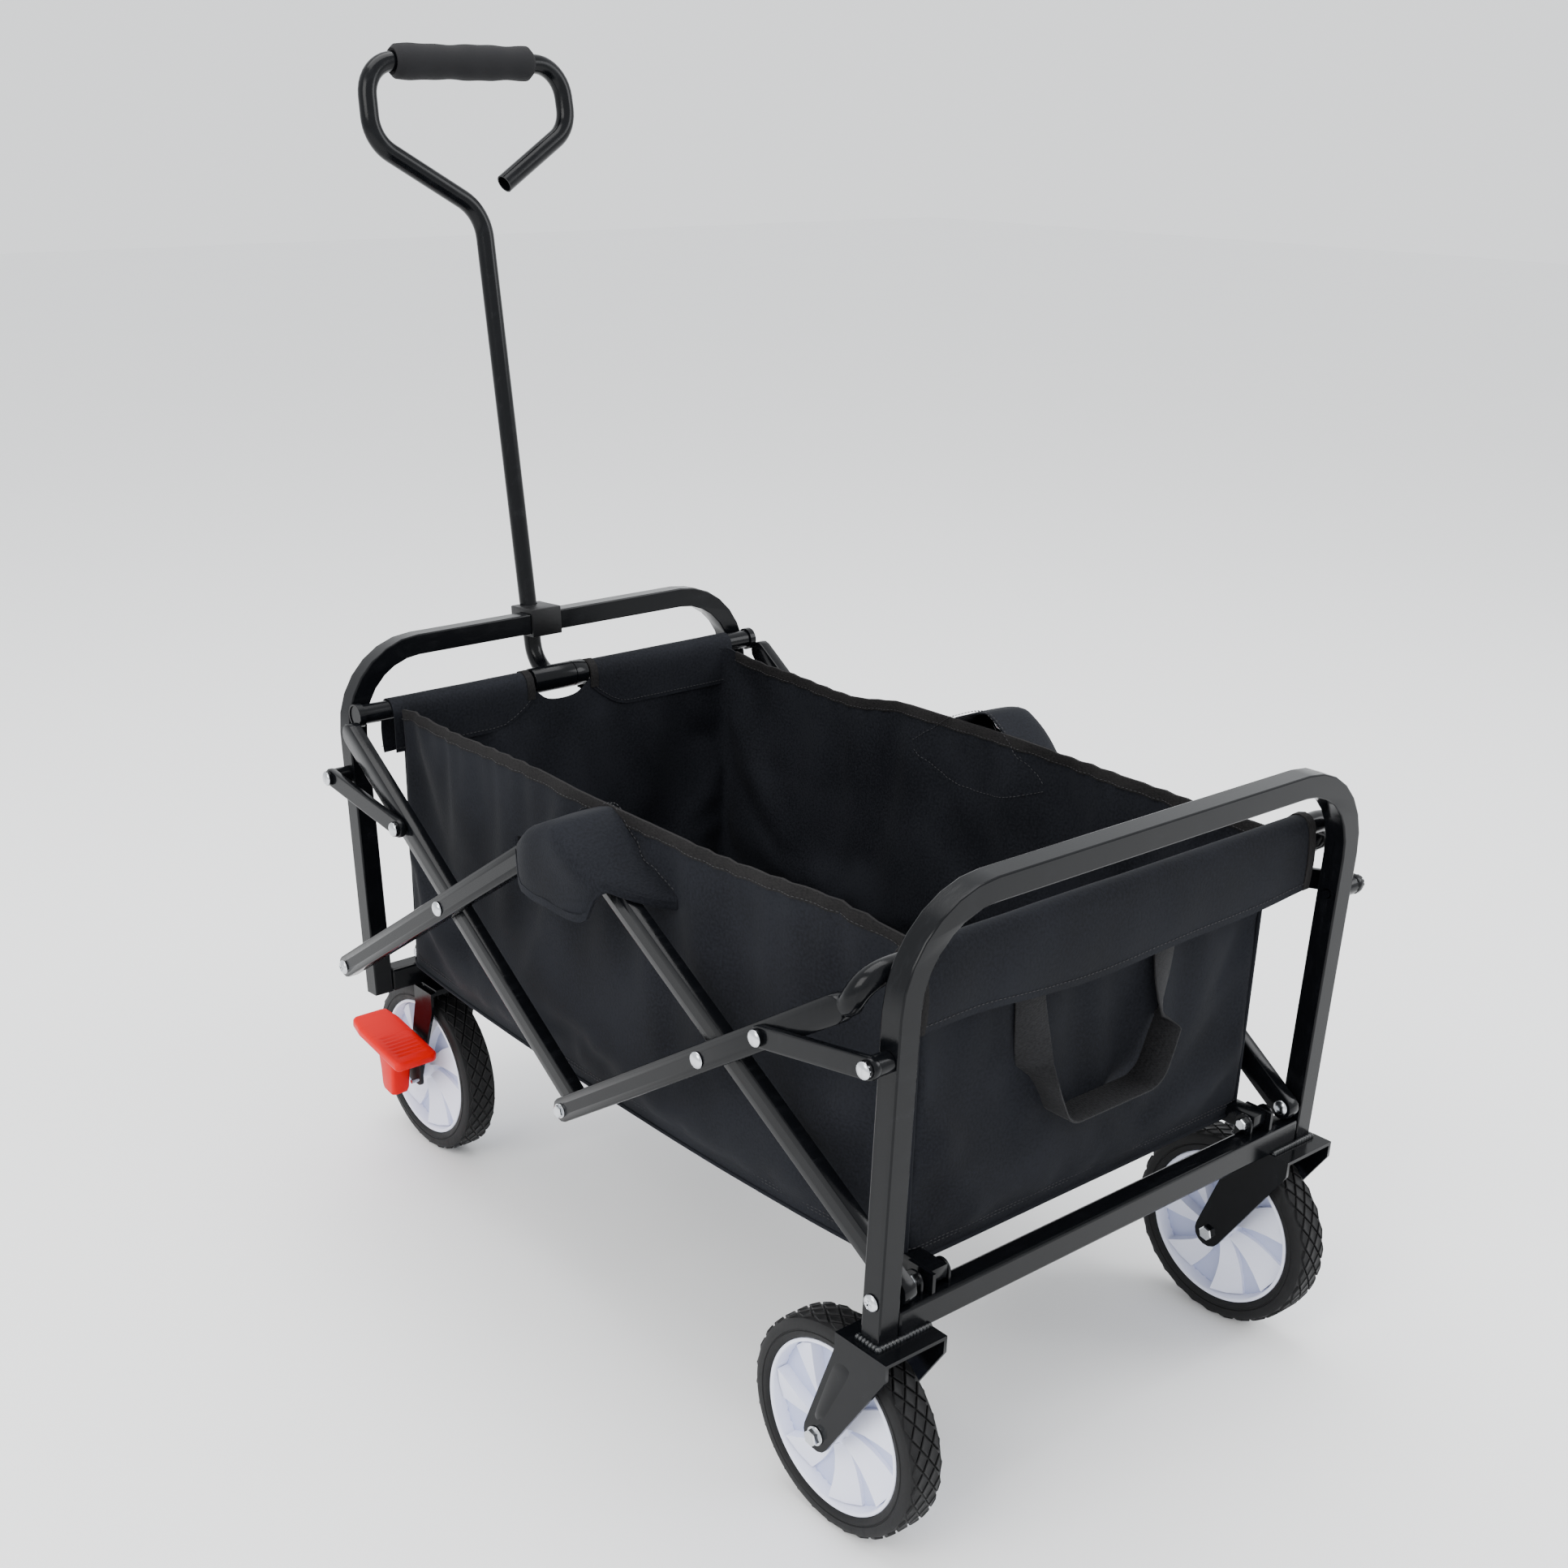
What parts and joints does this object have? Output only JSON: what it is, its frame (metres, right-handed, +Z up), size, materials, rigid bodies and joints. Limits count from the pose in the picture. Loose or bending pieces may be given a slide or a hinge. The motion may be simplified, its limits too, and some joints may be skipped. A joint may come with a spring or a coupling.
{
  "type": "folding utility wagon with pull handle",
  "caption": "Folding utility wagon: scissor-bar steel frame, black fabric tub, fixed rear wheels, front swivel casters with brake pedals, and a swinging pull handle.",
  "frame": {"origin": "on the ground, in the middle of the object's box", "axes": "+Z up, +Y towards the pull handle and the casters, +X to the right"},
  "size_m": [0.5438, 0.9092, 1.0333],
  "materials": {
    "frame_paint": "satin black powder coat on steel tube",
    "zinc_hardware": "bright zinc plate",
    "tyre_rubber": "matte moulded rubber with a block tread",
    "wheel_plastic": "white moulded plastic with a cool tint",
    "pedal_plastic": "red moulded plastic, satin",
    "clip_plastic": "black moulded plastic",
    "grip_foam": "matte black foam sleeve",
    "tub_fabric": "black coated polyester, plain weave"
  },
  "bodies": {
    "rear_frame": {"rear_u_frame": "frame_paint", "rear_cross_tube": "frame_paint", "rear_fork_left": "frame_paint", "rear_fork_right": "frame_paint", "rear_axle_left": "zinc_hardware", "rear_axle_right": "zinc_hardware", "rear_foot_pin_left": "zinc_hardware", "rear_foot_pin_right": "zinc_hardware", "tub_side_left": "tub_fabric", "tub_side_right": "tub_fabric", "tub_end_rear": "tub_fabric", "tub_end_front": "tub_fabric", "tub_floor": "tub_fabric"},
    "rear_low_bars": {"rear_low_bar_left": "frame_paint", "rear_low_bar_right": "frame_paint"},
    "rear_high_bars": {"rear_high_bar_left": "frame_paint", "rear_high_bar_right": "frame_paint", "rear_cross_pin_left": "zinc_hardware", "rear_cross_pin_right": "zinc_hardware", "low_middle_bolt_left": "zinc_hardware", "low_middle_bolt_right": "zinc_hardware", "rear_top_rail": "frame_paint"},
    "front_low_bars": {"front_low_bar_left": "frame_paint", "front_low_bar_right": "frame_paint", "top_middle_pin_left": "zinc_hardware", "top_middle_pin_right": "zinc_hardware"},
    "front_high_bars": {"front_high_bar_left": "frame_paint", "front_high_bar_right": "frame_paint", "front_cross_pin_left": "zinc_hardware", "front_cross_pin_right": "zinc_hardware"},
    "front_frame": {"front_u_frame": "frame_paint", "front_cross_tube": "frame_paint", "front_top_rail": "frame_paint", "handle_clip": "clip_plastic", "front_foot_pin_left": "zinc_hardware", "front_foot_pin_right": "zinc_hardware"},
    "rear_links": {"rear_link_left": "frame_paint", "rear_link_right": "frame_paint"},
    "front_links": {"front_link_left": "frame_paint", "front_link_right": "frame_paint"},
    "rear_floor_rails": {"rear_floor_rail_left": "frame_paint", "rear_floor_rail_right": "frame_paint"},
    "front_floor_rails": {"front_floor_rail_left": "frame_paint", "front_floor_rail_right": "frame_paint"},
    "handle": {"handle_tube": "frame_paint", "handle_grip": "grip_foam"},
    "rear_wheel_left": {"rear_left_tyre": "tyre_rubber", "rear_left_rim": "wheel_plastic"},
    "caster_left": {"caster_fork_left": "frame_paint", "front_axle_left": "zinc_hardware"},
    "caster_wheel_left": {"front_left_tyre": "tyre_rubber", "front_left_rim": "wheel_plastic"},
    "brake_left": {"brake_pedal_left": "pedal_plastic"},
    "rear_wheel_right": {"rear_right_tyre": "tyre_rubber", "rear_right_rim": "wheel_plastic"},
    "caster_right": {"caster_fork_right": "frame_paint", "front_axle_right": "zinc_hardware"},
    "caster_wheel_right": {"front_right_tyre": "tyre_rubber", "front_right_rim": "wheel_plastic"},
    "brake_right": {"brake_pedal_right": "pedal_plastic"}
  },
  "joints": [
    {"name": "fold", "type": "hinge", "parent": "rear_frame", "child": "rear_low_bars", "pos_m": [0, -0.4091, 0.225], "axis": [1, 0, 0], "range_deg": [0, 38.5], "deforming": ["tub_side_left", "tub_side_right", "tub_end_rear", "tub_end_front", "tub_floor"]},
    {"name": "rear_cross", "type": "hinge", "parent": "rear_low_bars", "child": "rear_high_bars", "pos_m": [0, -0.22698, 0.34554], "axis": [1, 0, 0], "range_deg": [-77.02, 0]},
    {"name": "top_middle", "type": "hinge", "parent": "rear_low_bars", "child": "front_low_bars", "pos_m": [0, -0.04486, 0.46609], "axis": [1, 0, 0], "range_deg": [-77.02, 0]},
    {"name": "front_cross", "type": "hinge", "parent": "front_low_bars", "child": "front_high_bars", "pos_m": [0, 0.13726, 0.34554], "axis": [1, 0, 0], "range_deg": [0, 77.02]},
    {"name": "front_foot", "type": "hinge", "parent": "front_low_bars", "child": "front_frame", "pos_m": [0, 0.31938, 0.225], "axis": [1, 0, 0], "range_deg": [0, 38.52]},
    {"name": "rear_link_pivot", "type": "hinge", "parent": "rear_frame", "child": "rear_links", "pos_m": [0, -0.41324, 0.4157], "axis": [1, 0, 0], "range_deg": [0, 77.45]},
    {"name": "front_link_pivot", "type": "hinge", "parent": "front_frame", "child": "front_links", "pos_m": [0, 0.33239, 0.41089], "axis": [1, 0, 0], "range_deg": [-71.44, 0]},
    {"name": "rear_floor_hinge", "type": "hinge", "parent": "rear_frame", "child": "rear_floor_rails", "pos_m": [0, -0.4031, 0.2216], "axis": [1, 0, 0], "range_deg": [0, 68.92]},
    {"name": "front_floor_hinge", "type": "hinge", "parent": "front_frame", "child": "front_floor_rails", "pos_m": [0, 0.31338, 0.2216], "axis": [1, 0, 0], "range_deg": [-68.92, 0]},
    {"name": "handle_swing", "type": "hinge", "parent": "front_frame", "child": "handle", "pos_m": [0, 0.31497, 0.47049], "axis": [1, 0, 0], "range_deg": [-95, 0]},
    {"name": "rear_wheel_spin_left", "type": "hinge", "parent": "rear_frame", "child": "rear_wheel_left", "pos_m": [-0.228, -0.3656, 0.089], "axis": [1, 0, 0], "continuous": true},
    {"name": "rear_wheel_spin_right", "type": "hinge", "parent": "rear_frame", "child": "rear_wheel_right", "pos_m": [0.228, -0.3656, 0.089], "axis": [1, 0, 0], "continuous": true},
    {"name": "caster_swivel_left", "type": "hinge", "parent": "front_frame", "child": "caster_left", "pos_m": [-0.1635, 0.30138, 0.187], "axis": [0, 0, 1], "continuous": true},
    {"name": "caster_wheel_spin_left", "type": "hinge", "parent": "caster_left", "child": "caster_wheel_left", "pos_m": [-0.1635, 0.32588, 0.089], "axis": [1, 0, 0], "continuous": true},
    {"name": "brake_press_left", "type": "hinge", "parent": "caster_left", "child": "brake_left", "pos_m": [-0.1635, 0.32588, 0.101], "axis": [1, 0, 0], "range_deg": [-16, 0]},
    {"name": "caster_swivel_right", "type": "hinge", "parent": "front_frame", "child": "caster_right", "pos_m": [0.1635, 0.30138, 0.187], "axis": [0, 0, 1], "continuous": true},
    {"name": "caster_wheel_spin_right", "type": "hinge", "parent": "caster_right", "child": "caster_wheel_right", "pos_m": [0.1635, 0.32588, 0.089], "axis": [1, 0, 0], "continuous": true},
    {"name": "brake_press_right", "type": "hinge", "parent": "caster_right", "child": "brake_right", "pos_m": [0.1635, 0.32588, 0.101], "axis": [1, 0, 0], "range_deg": [-16, 0]}
  ],
  "couplings": [
    {"joint": "rear_cross", "follows": "fold", "ratio": -2},
    {"joint": "top_middle", "follows": "fold", "ratio": -2},
    {"joint": "front_cross", "follows": "fold", "ratio": 2},
    {"joint": "front_foot", "follows": "fold", "ratio": 1},
    {"joint": "rear_link_pivot", "follows": "fold", "ratio": 2.0113},
    {"joint": "front_link_pivot", "follows": "fold", "ratio": -1.855},
    {"joint": "rear_floor_hinge", "follows": "fold", "ratio": 1.7896},
    {"joint": "front_floor_hinge", "follows": "fold", "ratio": -1.7896}
  ]
}
